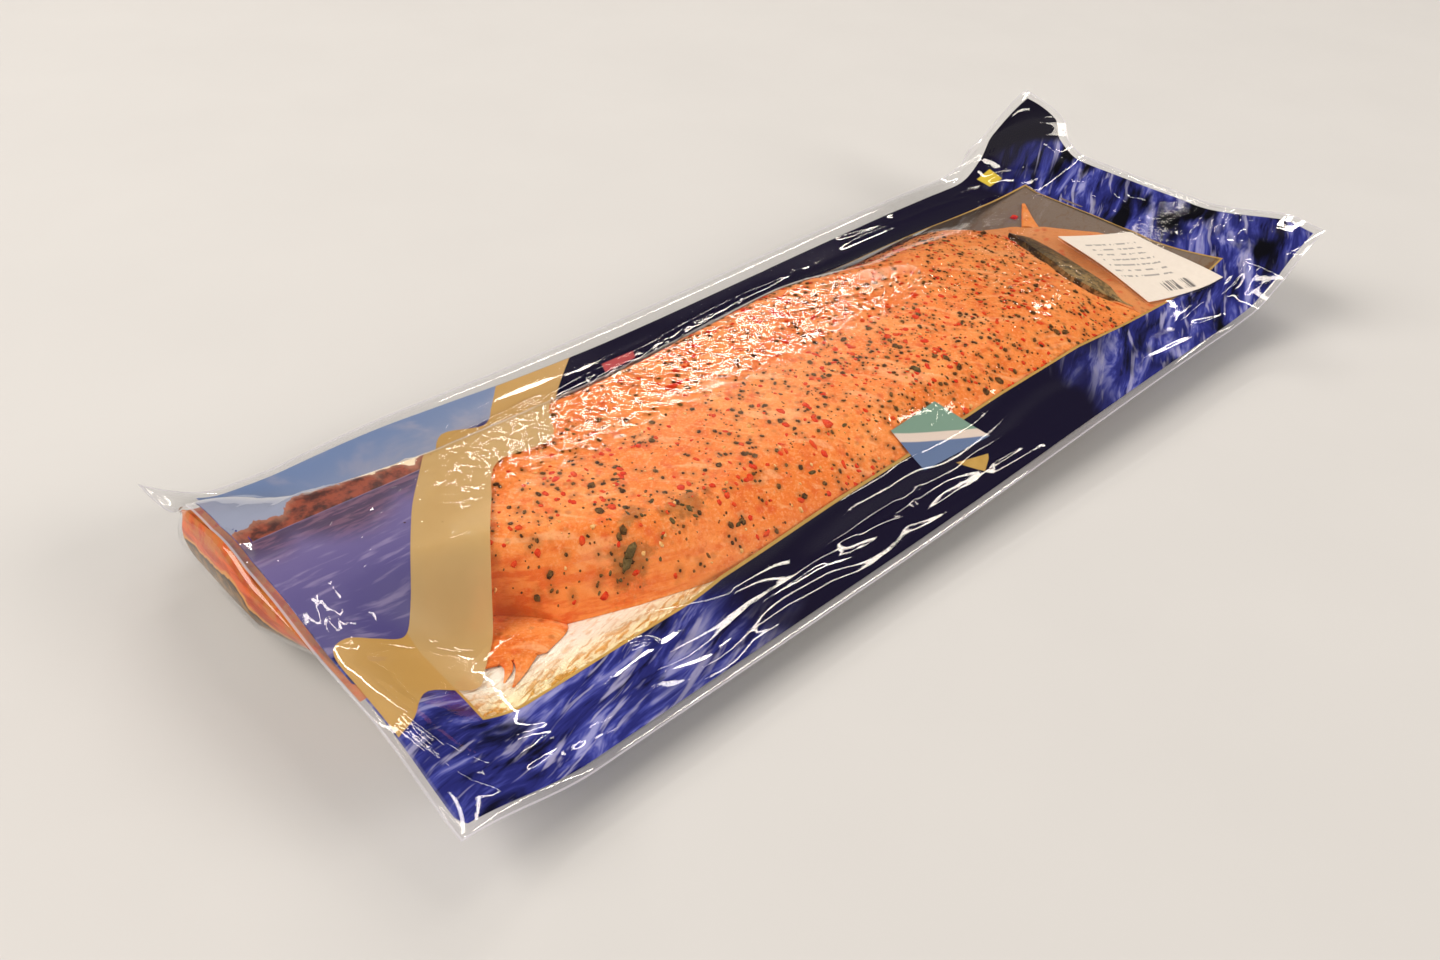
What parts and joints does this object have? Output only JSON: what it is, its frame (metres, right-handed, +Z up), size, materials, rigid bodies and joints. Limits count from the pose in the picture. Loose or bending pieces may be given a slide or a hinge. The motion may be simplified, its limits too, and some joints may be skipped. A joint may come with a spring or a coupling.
{
  "type": "smoked salmon pack",
  "caption": "Clear vacuum pack with a dark blue printed border, holding a whole peppered side of smoked salmon on a gold board, with curled seal edges.",
  "frame": {"origin": "on the table under the middle of the pack's box", "axes": "+X along the pack from its thick near end to its turned-up tail end, +Y across to the back edge, +Z up"},
  "size_m": [0.613, 0.22, 0.071],
  "materials": {
    "film": "clear glossy vacuum film over orange fish, printed dark blue round the border",
    "sticker": "plain white coated paper",
    "print": "dark blue printed border under the film, with a gold ribbon",
    "fish": "moist orange cold-smoked salmon with crushed pepper",
    "board": "crinkled gold foil on card"
  },
  "bodies": {
    "root": {"pouch": "film", "sticker": "sticker"}
  },
  "joints": []
}
